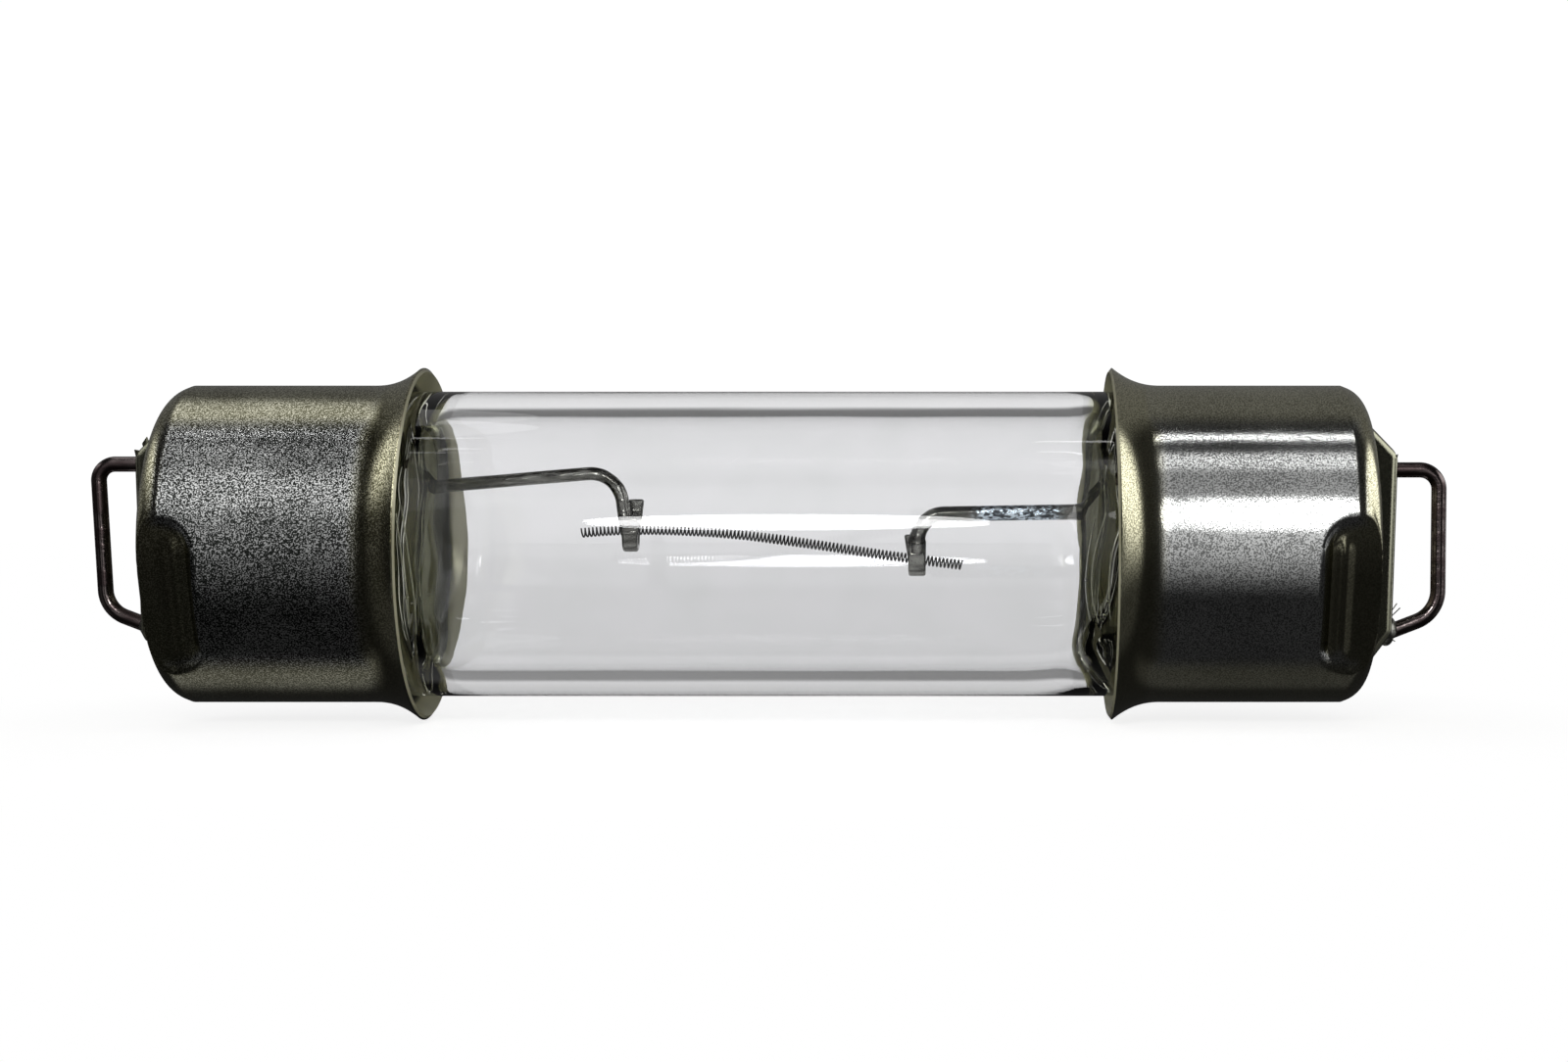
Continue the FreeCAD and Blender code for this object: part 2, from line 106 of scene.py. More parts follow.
def applyModifier(piece, kind, **settings):
    modifier = piece.modifiers.new(kind.title(), kind)
    for key, value in settings.items():
        setattr(modifier, key, value)
    bpy.context.view_layer.objects.active = piece
    bpy.ops.object.modifier_apply(modifier=modifier.name)


def settle(piece, material, slot, *nodes):
    # the piece takes its finish, rides on the part and stands for its nodes
    piece.data.materials.clear()
    piece.data.materials.append(material)
    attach(piece, "root")
    if nodes:
        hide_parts(*nodes)


def joinPieces(piece, others):
    clearSelection()
    for other in others:
        other.select_set(True)
    piece.select_set(True)
    bpy.context.view_layer.objects.active = piece
    bpy.ops.object.join()


# Shader maths: a Link is a socket that takes Python's own signs
class Link:
    def __init__(self, finish, socket):
        self.finish = finish
        self.socket = socket

    def maths(self, operation, first, second):
        return self.finish.node("ShaderNodeMath", {"operation": operation}, [first, second])

    def __add__(self, other):
        return self.maths("ADD", self, other)

    def __radd__(self, other):
        return self.maths("ADD", other, self)

    def __sub__(self, other):
        return self.maths("SUBTRACT", self, other)

    def __rsub__(self, other):
        return self.maths("SUBTRACT", other, self)

    def __mul__(self, other):
        return self.maths("MULTIPLY", self, other)

    def __rmul__(self, other):
        return self.maths("MULTIPLY", other, self)


class Finish:
    def __init__(self, name):
        self.material = bpy.data.materials.new(name)
        self.material.use_nodes = True
        self.tree = self.material.node_tree
        self.tree.nodes.clear()
        self.place = self.node("ShaderNodeTexCoord", {}, {}, "Object")

    def node(self, kind, settings, sockets, output=0):
        made = self.tree.nodes.new(kind)
        for key, value in settings.items():
            setattr(made, key, value)
        pairs = sockets.items() if isinstance(sockets, dict) else enumerate(sockets)
        for key, value in pairs:
            if isinstance(value, Link):
                self.tree.links.new(value.socket, made.inputs[key])
            else:
                made.inputs[key].default_value = value
        return Link(self, made.outputs[output]) if made.outputs else None

    def scaled(self, x, y, z):
        # object coordinates, in the given cells per millimetre
        return self.node("ShaderNodeMapping", {}, {"Vector": self.place, "Scale": (x / mm, y / mm, z / mm)})

    def noise(self, size, detail=2, rough=0.5, stretch=(1, 1, 1)):
        # size is the grain's width in millimetres
        along = self.scaled(stretch[0] / size, stretch[1] / size, stretch[2] / size)
        return self.node("ShaderNodeTexNoise", {},
                         {"Vector": along, "Scale": 1.0, "Detail": detail, "Roughness": rough})

    def size(self, value):
        return self.node("ShaderNodeMath", {"operation": "ABSOLUTE"}, [value])

    def larger(self, first, second):
        return self.node("ShaderNodeMath", {"operation": "MAXIMUM"}, [first, second])

    def power(self, value, exponent):
        return self.node("ShaderNodeMath", {"operation": "POWER"}, [value, exponent])

    def between(self, value, start, stop, low=0.0, high=1.0):
        return self.node("ShaderNodeMapRange", {"clamp": True, "interpolation_type": "SMOOTHSTEP"},
                         {"Value": value, "From Min": start, "From Max": stop, "To Min": low, "To Max": high})

    def axes(self):
        parted = self.tree.nodes.new("ShaderNodeSeparateXYZ")
        self.tree.links.new(self.scaled(1, 1, 1).socket, parted.inputs[0])
        return [Link(self, output) for output in parted.outputs]

    def blend(self, factor, first, second):
        return self.node("ShaderNodeMix", {"data_type": "RGBA"}, {0: factor, 6: first, 7: second}, 2)

    def bump(self, height, depth, strength=1.0):
        # depth in millimetres
        return self.node("ShaderNodeBump", {}, {"Height": height, "Distance": depth * mm, "Strength": strength})

    def surface(self, **sockets):
        named = {key.replace("_", " "): value for key, value in sockets.items()}
        shader = self.node("ShaderNodeBsdfPrincipled", {}, named)
        self.node("ShaderNodeOutputMaterial", {}, [shader])
        return self.material


def glassFinish():
    # the last colour here is painted shade for the glass ends
    look = {"tint": (0.955, 0.955, 0.965, 1), "deeper": (0.93, 0.935, 0.94, 1),
            "endShade": (0.68, 0.69, 0.56, 1), "ripple": 0.004, "shadeStart": 10.0, "shadeEnd": 10.3}
    finish = Finish("clear_glass")
    cloud = finish.between(finish.noise(2.2, 2), 0.4, 0.7)
    drawn = finish.noise(0.9, 2, stretch=(0.08, 1, 1))
    across, depth, height = finish.axes()
    # the ends are tinted darker olive as painted shade from the cap's dark inside seen through the glass; this starts
    # nearer the middle at the front than at the back
    shadedEnds = finish.between(finish.size(across) - depth * (0.13 - across * 0.003), look["shadeStart"], look["shadeEnd"])
    clear = finish.blend(cloud, look["tint"], look["deeper"])
    return finish.surface(
        Base_Color=finish.blend(shadedEnds, clear, look["endShade"]),
        Roughness=0.0, IOR=1.5, Transmission_Weight=1.0,
        Normal=finish.bump(drawn, look["ripple"]))


def capFinish(name, grain, rough, contrast, pitting, deep):
    # satin plating with fine grain; the olive at the flare, corner, top and bottom bands and dents is a painted
    # reflection of warm light
    look = {"plate": (0.93, 0.94, 0.93, 1), "pit": (0.05, 0.055, 0.05, 1), "olive": (0.86, 0.83, 0.6, 1),
            "olivePit": (0.22, 0.21, 0.12, 1), "mouth": (0.93, 0.9, 0.62, 1),
            "inside": (0.07, 0.072, 0.048, 1), "rib": (0.42, 0.42, 0.31, 1),
            "underShade": (0.12, 0.12, 0.085, 1)}
    finish = Finish(name)
    across, depth, height = finish.axes()
    far = finish.size(across)
    away = finish.power(depth * depth + height * height, 0.5)
    flare = finish.between(far, 12.2, 11.5)
    corner = finish.between(far, 17.6, 18.2)
    banks = finish.between(finish.size(height), 3.3, 3.9, 0, 0.8)
    dented = finish.between(away, 4.8, 4.6) * finish.between(far, 16.4, 16.7)
    edges = finish.larger(finish.larger(finish.larger(flare, corner), banks), dented)
    cloud = finish.between(finish.noise(2.5, 1), 0.35, 0.65)
    coarse = finish.noise(grain, 1, 0.5)
    specks = finish.between(coarse - cloud * 0.04, pitting - 0.055, pitting + 0.015)
    plate = finish.blend(specks * contrast, look["plate"], look["pit"])
    # painted reflection: the olive tint on these zones stands in for warm reflected light
    warmSheen = finish.blend(specks * contrast, look["olive"], look["olivePit"])
    colour = finish.blend(edges, plate, warmSheen)
    # painted shade: the olive zones darken towards the bottom
    colour = finish.blend(edges * finish.between(height, 0.8, -1.2, 0, 0.6), colour, look["underShade"])
    colour = finish.blend(finish.between(far, 18.55, 18.7), colour, look["rib"])
    # the sheet's middle follows the flare, and what lies within it is the inside: painted shade there, dark and mostly
    # not metallic, with a painted highlight in cream at the lip
    drop = finish.larger((12.2 - far) * 0.6667, 0.0)
    skin = 4.86 + finish.power(drop, 2.2) * 0.55
    within = finish.between(away - skin, 0.02, -0.02) * finish.between(far, 16.4, 16.2)
    mouth = finish.blend(finish.between(far, 11.05, 11.25), look["mouth"], look["inside"])
    colour = finish.blend(within, colour, mouth)
    return finish.surface(
        Base_Color=colour, Metallic=1.0 - within * 0.85, Roughness=rough + cloud * 0.04 + specks * 0.08,
        Normal=finish.bump(coarse, grain * deep, contrast))


def wireFinish(name, colour, darker, rough, streak, stretch=(0.25, 1, 1)):
    finish = Finish(name)
    worn = finish.between(finish.noise(streak, 3, 0.65, stretch), 0.42, 0.62)
    fine = finish.noise(streak * 0.25, 2, 0.6)
    return finish.surface(
        Base_Color=finish.blend(worn, colour, darker), Metallic=1.0,
        Roughness=rough + worn * 0.15,
        Normal=finish.bump(worn + fine * 0.5, 0.006))


def leadFinish():
    # dull drawn wire, with a stretch of bright rough grains on the right one
    look = {"steel": (0.24, 0.24, 0.22, 1), "dark": (0.08, 0.08, 0.07, 1), "grain": (0.7, 0.8, 0.88, 1),
            "gap": (0.04, 0.05, 0.06, 1), "rough": 0.17}
    finish = Finish("worked_lead")
    across, depth, height = finish.axes()
    zone = finish.between(across, 6.2, 6.8) * finish.between(across, 9.4, 8.8)
    worn = finish.between(finish.noise(0.3, 2, 0.6, (0.2, 1, 1)), 0.4, 0.62)
    grains = finish.noise(0.1, 2, 0.6, (0.6, 1, 1))
    crust = finish.blend(finish.between(grains, 0.42, 0.58), look["grain"], look["gap"])
    plain = finish.blend(worn, look["steel"], look["dark"])
    height = worn * 0.25 * (1 - zone) + grains * zone
    return finish.surface(
        Base_Color=finish.blend(zone, plain, crust), Metallic=1.0, Roughness=look["rough"] + zone * 0.1,
        Normal=finish.bump(height, 0.05))


def cementFinish():
    finish = Finish("basing_cement")
    lumps = finish.noise(0.35, 4, 0.6)
    return finish.surface(
        Base_Color=finish.blend(lumps, (0.62, 0.6, 0.44, 1), (0.4, 0.38, 0.27, 1)),
        Roughness=0.85, Normal=finish.bump(lumps, 0.05))


glassMaterial = glassFinish()
capMaterials = {"left": capFinish("plated_cap_left", 0.042, 0.1, 1.0, 0.46, 0.12),
                "right": capFinish("plated_cap_right", 0.042, 0.08, 0.7, 0.51, 0.06)}
loopMaterial = wireFinish("oxidised_wire", (0.22, 0.185, 0.18, 1), (0.1, 0.075, 0.075, 1), 0.14, 0.6)
leadMaterial = leadFinish()
coilMaterial = wireFinish("tungsten_coil", (0.04, 0.04, 0.04, 1), (0.02, 0.02, 0.02, 1), 0.4, 0.2)
solderMaterial = wireFinish("dull_solder", (0.42, 0.42, 0.38, 1), (0.2, 0.2, 0.17, 1), 0.3, 0.3, (1, 1, 1))
cementMaterial = cementFinish()
print("finishes made")


# Camera at the photograph's place: square on to the axis, to the right of the middle
view = {"x": 5.53, "height": 0.4, "distance": 84.0, "lens": 61.7, "shift": -0.103}
bpy.ops.object.camera_add(location=(view["x"] * mm, -view["distance"] * mm, view["height"] * mm),
                          rotation=(math.pi / 2, 0, 0))
camera = bpy.context.object
camera.data.lens = view["lens"]
camera.data.sensor_width = 36
camera.data.shift_x = view["shift"]
camera.data.clip_start = 0.001
camera.data.clip_end = 10
bpy.context.scene.camera = camera
bpy.context.scene.view_settings.view_transform = "Standard"


# Studio: strip lamps round the front and top, a pale floor and a white surround
lamps = {
    "strip_middle": {"rise": 16.5, "distance": 90, "x": -4.2, "long": 25, "wide": 16, "bright": 9},
    "key_right": {"rise": 21, "distance": 90, "x": 27, "long": 23, "wide": 34, "bright": 2.2},
    "upper_right": {"rise": 60, "distance": 90, "x": 27, "long": 30, "wide": 20, "bright": 0.45},
    "top_right": {"rise": 80.5, "distance": 90, "x": 27, "long": 32, "wide": 4, "bright": 3.5},
    "key_left": {"rise": 36, "distance": 90, "x": -38, "long": 34, "wide": 50, "bright": 0.25},
    "line_left": {"rise": 84, "distance": 90, "x": -40, "long": 34, "wide": 4, "bright": 2.2},
    "thin_left": {"rise": 70, "distance": 90, "x": -40, "long": 34, "wide": 3, "bright": 1.2},
    "back_left": {"rise": 108, "distance": 90, "x": -40, "long": 40, "wide": 44, "bright": 0.55},
}
for lampName, lamp in lamps.items():
    rise = math.radians(lamp["rise"])
    spot = Vector((lamp["x"], -math.cos(rise) * lamp["distance"], math.sin(rise) * lamp["distance"])) * mm
    bpy.ops.object.light_add(type="AREA", location=spot)
    light = bpy.context.object
    light.name = lampName
    light.data.shape = "ELLIPSE"
    light.data.size = lamp["long"] * mm
    light.data.size_y = lamp["wide"] * mm
    light.data.energy = lamp["bright"] * math.pi * lamp["long"] * lamp["wide"] * mm * mm
    light.rotation_euler = (math.pi / 2 - rise, 0, 0)

floorLook = {"height": -5.6, "lift": 0.84, "near": 14, "far": 30, "dark": 0.22, "pale": 0.74, "horizon": 0.08}
clearSelection()
bpy.ops.mesh.primitive_plane_add(size=3, location=(0, 0, floorLook["height"] * mm))
floor = bpy.context.object
floor.name = "pale_floor"
floor.visible_glossy = False
floorFinish = Finish("pale_floor")
paper = floorFinish.blend(floorFinish.noise(4, 3), (0.86, 0.86, 0.86, 1), (0.9, 0.9, 0.9, 1))
floorAcross, floorBack, floorUp = floorFinish.axes()
away = floorFinish.power(floorAcross * floorAcross + floorBack * floorBack, 0.5)
matt = floorFinish.node("ShaderNodeBsdfDiffuse", {}, {"Color": paper})
white = floorFinish.node("ShaderNodeEmission", {}, {"Color": (1, 1, 1, 1), "Strength": 1.0})
lift = floorFinish.node("ShaderNodeEmission", {}, {"Color": (1, 1, 1, 1), "Strength": floorLook["lift"]})
near = floorFinish.node("ShaderNodeAddShader", {}, [matt, lift])
plain = floorFinish.node("ShaderNodeMixShader", {},
                         [floorFinish.between(away, floorLook["near"], floorLook["far"]), near, white])
# seen through the glass: a painted shadow line under the bulb on a pale ground
shadowBand = (floorBack + 0.7) * (floorBack + 0.7)
paleness = floorFinish.between(shadowBand, 0.4, 1.6, floorLook["dark"], floorLook["pale"]) \
    + floorFinish.between(floorBack, 30, 400, 0, floorLook["horizon"])
through = floorFinish.node("ShaderNodeEmission", {}, {"Color": (1, 1, 1, 1), "Strength": paleness})
isThrough = floorFinish.node("ShaderNodeLightPath", {}, {}, "Is Transmission Ray")
isSeen = floorFinish.node("ShaderNodeLightPath", {}, {}, "Is Camera Ray")
others = floorFinish.node("ShaderNodeMixShader", {}, [isThrough, matt, through])
shown = floorFinish.node("ShaderNodeMixShader", {}, [isSeen, others, plain])
floorFinish.node("ShaderNodeOutputMaterial", {}, [shown])
floor.data.materials.append(floorFinish.material)

# Surround: white to the camera, soft cards by direction for what glass and metal show
surroundLook = {"behind": 0.11, "through": 0.78, "everywhere": 0.02}
world = bpy.data.worlds.new("white_surround")
bpy.context.scene.world = world
world.use_nodes = True
surround = Finish.__new__(Finish)
surround.tree = world.node_tree
surround.tree.nodes.clear()
direction = surround.node("ShaderNodeTexCoord", {}, {}, "Generated")
parted = surround.tree.nodes.new("ShaderNodeSeparateXYZ")
surround.tree.links.new(direction.socket, parted.inputs[0])
upward = Link(surround, parted.outputs[2])
backward = Link(surround, parted.outputs[1])
rightward = Link(surround, parted.outputs[0])
sideways = surround.size(rightward)
endward = surround.between(sideways, 0.3, 0.5, 1.0, 0.3)
facing = surround.between(backward, 0.2, -0.3)
card = (1.0 - surround.between(upward, 0.58, 0.7) * endward) \
    * (1.0 - facing * surround.between(upward, -0.3, 0.3, 0.85, 0.4)) \
    * surround.between(sideways, 0.42, 0.62, 1.0, 0.15)
rays = surround.tree.nodes.new("ShaderNodeLightPath")
cameraRay = Link(surround, rays.outputs["Is Camera Ray"])
glossyRay = Link(surround, rays.outputs["Is Glossy Ray"])
throughRay = Link(surround, rays.outputs["Is Transmission Ray"])
behind = surround.between(backward, 0.0, 0.4) * surround.between(upward, -0.1, 0.1)
beneath = surround.between(backward, 0.0, 0.3) * surround.between(upward, -0.72, -0.86) \
    * surround.between(rightward, -0.12, 0.0, 0.3, 0.05)
rightSide = surround.between(rightward, 0.73, 0.84) * surround.between(rightward, 0.995, 0.96) \
    * surround.between(upward, -0.4, 0.4, 0.05, 1.5)
leftSide = surround.between(rightward, -0.72, -0.82) * surround.between(rightward, -0.98, -0.94) \
    * surround.between(upward, 0.25, 0.6, 0.05, 1.2)
front = surround.between(backward, -0.15, -0.3)
frontRight = surround.between(rightward, 0.035, 0.065) * surround.between(rightward, 0.36, 0.2) * (
    surround.between(upward, -0.64, 0.14, 0.0, 0.6) - surround.between(upward, 0.2, 0.6, 0.0, 0.28)
    - surround.between(upward, 0.91, 0.935, 0.0, 0.3))
frontLeft = surround.between(rightward, -0.165, -0.2) * surround.between(rightward, -0.5, -0.34) * (
    surround.between(upward, -0.78, 0.6, 0.0, 0.55) - surround.between(upward, 0.8, 0.92, 0.0, 0.25)
    - surround.between(upward, 0.93, 0.95, 0.0, 0.25))
mirrored = behind * surroundLook["behind"] + beneath + rightSide + leftSide + front * (frontRight + frontLeft)
whiteness = cameraRay + throughRay * card * surroundLook["through"] + glossyRay * mirrored \
    + surroundLook["everywhere"]
background = surround.node("ShaderNodeBackground", {}, {"Color": (1, 1, 1, 1), "Strength": whiteness})
surround.node("ShaderNodeOutputWorld", {}, [background])
print("camera and studio set")


# Glass: a drawn tube with a domed bore, pinched flat inside the caps
glass = {"radius": 4.75, "bore": 3.99, "shoulder": 12.4, "pressStart": 14.4, "pressEnd": 17.1,
         "pressHalf": 4.0, "pressFlat": 0.3, "round": 128, "bubble": 0.06, "bubbleReach": 4.37,
         "airline": 0.022, "airlineReach": 4.36,
         "airlines": [[(9.95, 0.75), (9.75, -0.2), (9.66, -1.0), (9.7, -1.6), (9.85, -2.2)],
                      [(10.3, 0.9), (9.9, -0.2), (9.84, -1.1), (9.9, -1.7), (10.1, -2.3)],
                      [(10.45, -0.2), (10.4, -0.8), (10.38, -1.3), (10.4, -1.8), (10.46, -2.2)],
                      [(-10.6, 1.1), (-10.42, 0.1), (-10.3, -0.8), (-10.22, -1.9), (-10.3, -2.6)],
                      [(-10.75, 0.9), (-10.62, 0.0), (-10.5, -0.9), (-10.42, -1.7), (-10.5, -2.3)]],
         "bubbles": [(9.69, -1.03), (10.36, -1.64), (10.27, -2.04), (-10.46, -1.52), (-10.05, -1.58), (-10.31, -1.7)],
         "dome": [(8.7, 3.99), (9.3, 3.99), (9.7, 3.99), (10.1, 3.97), (10.5, 3.89), (10.85, 3.71), (11.15, 3.43),
                  (11.45, 3.0), (11.68, 2.48), (11.87, 1.85), (12.0, 1.2), (12.07, 0.55)]}


def shapeBore(bore):
    # the melted ends are uneven: the bore wanders there, folds in on the right and thickens below
    for vertex in bore.data.vertices:
        spot = vertex.co / mm
        share = min(max((abs(spot.x) - 9.4) / 1.2, 0), 1)
        share = share * share * (3 - 2 * share)
        wander = noise.noise(spot * 0.8 + Vector((9, 2, 5)))
        swell = noise.noise(spot * 0.5)
        spot.y *= 1 + swell * 0.04 * share
        spot.z *= 1 + swell * 0.04 * share
        spot.x += wander * 0.1 * share
        spot.x -= math.copysign(0.55 * (1 - (spot.z / 4) ** 2) * share, spot.x)
        if spot.x > 7.7:
            fold = min(max((spot.x - 8.6) / 0.8, 0), 1) * min(max(-spot.y / 2.2, 0), 1)
            spot.x -= 0.6 * fold * min(max((0.4 - spot.z) / 3.0, 0), 1)
            rise = min((spot.x - 7.7) / 2.2, 1)
            under = min(max((-spot.z - 2.2) / 1.6, 0), 1)
            spot.z += 0.12 * rise * rise * under * under * (3 - 2 * under)
        vertex.co = spot * mm


def makeAirlines():
    made = []
    for points in glass["airlines"]:
        clearSelection()
        bpy.ops.curve.primitive_nurbs_path_add(location=(0, 0, 0))
        line = bpy.context.object
        spline = line.data.splines[0]
        for point, (x, z) in zip(spline.points, points):
            point.co = (x * mm, -math.sqrt(glass["airlineReach"] ** 2 - z ** 2) * mm, z * mm, 1)
        for extra in range(len(points), len(spline.points)):
            spline.points[extra].co = spline.points[len(points) - 1].co
        spline.order_u = 4
        line.data.resolution_u = 12
        line.data.bevel_depth = glass["airline"] * mm
        line.data.bevel_resolution = 3
        line.data.use_fill_caps = True
        bpy.ops.object.convert(target="MESH")
        line = bpy.context.object
        bpy.ops.object.mode_set(mode="EDIT")
        leaveEdit(line, 80)
        bpy.ops.object.mode_set(mode="EDIT")
        bpy.ops.mesh.select_all(action="SELECT")
        bpy.ops.mesh.flip_normals()
        bpy.ops.object.mode_set(mode="OBJECT")
        made.append(line)
    return made


def makeBubbles():
    made = []
    for x, z in glass["bubbles"]:
        y = -math.sqrt(glass["bubbleReach"] ** 2 - z ** 2)
        bpy.ops.mesh.primitive_uv_sphere_add(segments=16, ring_count=10, radius=glass["bubble"] * mm,
                                             location=(x * mm, y * mm, z * mm))
        bubble = bpy.context.object
        bpy.ops.object.transform_apply(location=True, rotation=True, scale=True)
        bpy.ops.object.mode_set(mode="EDIT")
        bpy.ops.mesh.select_all(action="SELECT")
        bpy.ops.mesh.flip_normals()
        bpy.ops.object.mode_set(mode="OBJECT")
        smooth(bubble, 80)
        made.append(bubble)
    return made


def makeGlass():
    steps = [(-glass["pressEnd"], glass["pressHalf"]), (-glass["pressStart"], glass["pressHalf"])]
    steps += [(-glass["pressStart"] + along, radius) for along, radius in ((0.5, 4.15), (1.0, 4.45), (1.5, 4.67))]
    steps += [(-glass["shoulder"], glass["radius"]), (-glass["shoulder"] + 0.5, glass["radius"])]
    steps += [(place, glass["radius"]) for place in range(-11, 1)]
    stations = steps + [(-place, radius) for place, radius in reversed(steps[:-1])]
    piece = startRing("glass_tube", stations[0][0], stations[0][1], glass["round"])
    bpy.ops.mesh.edge_face_add()
    bpy.ops.mesh.select_all(action="SELECT")
    drawRings(stations)
    for side in ends.values():
        squeeze = [(17.5, 14.2, 1.0), (14.2, 13.65, 0.8), (13.65, 13.15, 0.45), (13.15, 12.5, 0.14)]
        for outer, inner, share in squeeze:
            pick(piece, "VERT", lambda spot: inner < spot.x * side <= outer)
            bpy.ops.transform.resize(value=(1, 1 - (1 - glass["pressFlat"]) * share, 1), center_override=(0, 0, 0))
    leaveEdit(piece, 60)
    dome = glass["dome"]
    hollow = [(-place, radius) for place, radius in reversed(dome)]
    hollow += [(place, glass["bore"]) for place in range(-8, 9)] + dome
    bore = startRing("bore", hollow[0][0], hollow[0][1], glass["round"])
    bpy.ops.mesh.edge_face_add()
    bpy.ops.mesh.select_all(action="SELECT")
    drawRings(hollow)
    leaveEdit(bore, 80)
    shapeBore(bore)
    bpy.ops.object.mode_set(mode="EDIT")
    bpy.ops.mesh.select_all(action="SELECT")
    bpy.ops.mesh.flip_normals()
    bpy.ops.object.mode_set(mode="OBJECT")
    joinPieces(piece, [bore] + makeBubbles() + makeAirlines())
    settle(piece, glassMaterial, "clear_glass", "glass_envelope")


makeGlass()
print("glass made")


# End caps: drawn cups with a flared rim, a rib and two crimp dents
cap = {"rim": 10.7, "end": 18.53, "radius": 4.94, "sheet": 0.16, "corner": 0.9,
       "flareLength": 1.5, "flareRise": 0.55, "faceRing": 3.98, "round": 256, "ribHalf": 3.7, "ribWide": 1.2, "ribHigh": 1.0, "ribEdge": 0.24,
       "dentTurn": 21, "dentHalf": 2.5, "dentReach": 1.75, "dentRound": 1.0, "dentFloor": 4.25,
       "dentFall": 0.1, "dentSoft": 0.36, "ridge": 0.17, "ridgePlace": 17.36, "ridgeWide": 0.26,
       "petals": {"left": [[(18.95, -1.02, 2.9), (19.2, -1.0, 2.86), (19.12, -1.05, 3.32), (19.28, -1.02, 3.1)],
                           [(19.05, -1.05, 2.42), (19.4, -1.0, 2.4), (19.2, -1.06, 2.86), (19.52, -1.02, 2.92)]],
                  "right": [[(19.1, -1.05, 2.32), (19.4, -1.0, 2.34), (19.2, -1.06, 2.6), (19.51, -1.02, 2.78)]]}}


def capStations():
    stations = []
    for step in range(19):
        share = 1 - step / 18
        stations.append((cap["rim"] + cap["flareLength"] * (1 - share),
                         cap["radius"] + cap["flareRise"] * share ** 2.2))
    bend = cap["end"] - cap["corner"]
    stations += [(place / 10, cap["radius"]) for place in range(125, 160, 5)]
    place = 16.0
    while place < bend + 0.24:
        stations.append((place, cap["radius"]))
        place += 0.1
    for step in range(4, 17):
        angle = math.pi / 2 * step / 16
        stations.append((bend + cap["corner"] * math.sin(angle),
                         cap["radius"] - cap["corner"] * (1 - math.cos(angle))))
    stations.append((cap["end"], cap["faceRing"]))
    return stations


def pressDents(piece, side):
    # pushes the corner in to a rounded floor with a low ridge, at the front and opposite
    turn = math.radians(cap["dentTurn"])
    inner = cap["end"] - cap["dentReach"]
    for face in (1, -1):
        out = Vector((0, -math.cos(turn), -math.sin(turn))) * face
        level = Vector((0, -math.sin(turn), math.cos(turn))) * face
        for vertex in piece.data.vertices:
            spot = vertex.co / mm
            reach = spot.dot(out)
            if reach < 3 or spot.x * side < inner - 1:
                continue
            wide = abs(spot.dot(level)) - (cap["dentHalf"] - cap["dentRound"])
            long = inner + cap["dentRound"] - spot.x * side
            gap = math.hypot(max(wide, 0), max(long, 0)) + min(max(wide, long), 0) - cap["dentRound"]
            share = min(max(-gap / cap["dentSoft"] + 0.35, 0), 1)
            share = share * share * (3 - 2 * share)
            offset = (spot.x * side - cap["ridgePlace"]) / cap["ridgeWide"]
            fade = min(max((cap["dentHalf"] - 0.35 - abs(spot.dot(level) + 0.2)) / 0.5, 0), 1)
            floorReach = cap["dentFloor"] - cap["dentFall"] * (spot.x * side - inner)
            floorReach += cap["ridge"] * (0.7 + 0.3 * side) * math.exp(-offset * offset) * fade
            if reach > floorReach:
                vertex.co = (spot + out * (floorReach - reach) * share) * mm


def makePetal(end, index, corners):
    # a torn sliver of the sheet standing up beside the wire
    clearSelection()
    bpy.ops.mesh.primitive_plane_add(size=1)
    petal = bpy.context.object
    petal.name = "petal_" + end + str(index)
    for vertex, (x, y, z) in zip(petal.data.vertices, corners):
        vertex.co = Vector((x * ends[end], y, z)) * mm
    bpy.ops.object.mode_set(mode="EDIT")
    bpy.ops.mesh.select_all(action="SELECT")
    bpy.ops.mesh.normals_make_consistent(inside=False)
    bpy.ops.object.mode_set(mode="OBJECT")
    applyModifier(petal, "SOLIDIFY", thickness=0.07 * mm, offset=0)
    applyModifier(petal, "BEVEL", width=0.02 * mm, segments=2, limit_method="ANGLE")
    smooth(petal, 40)
    return petal


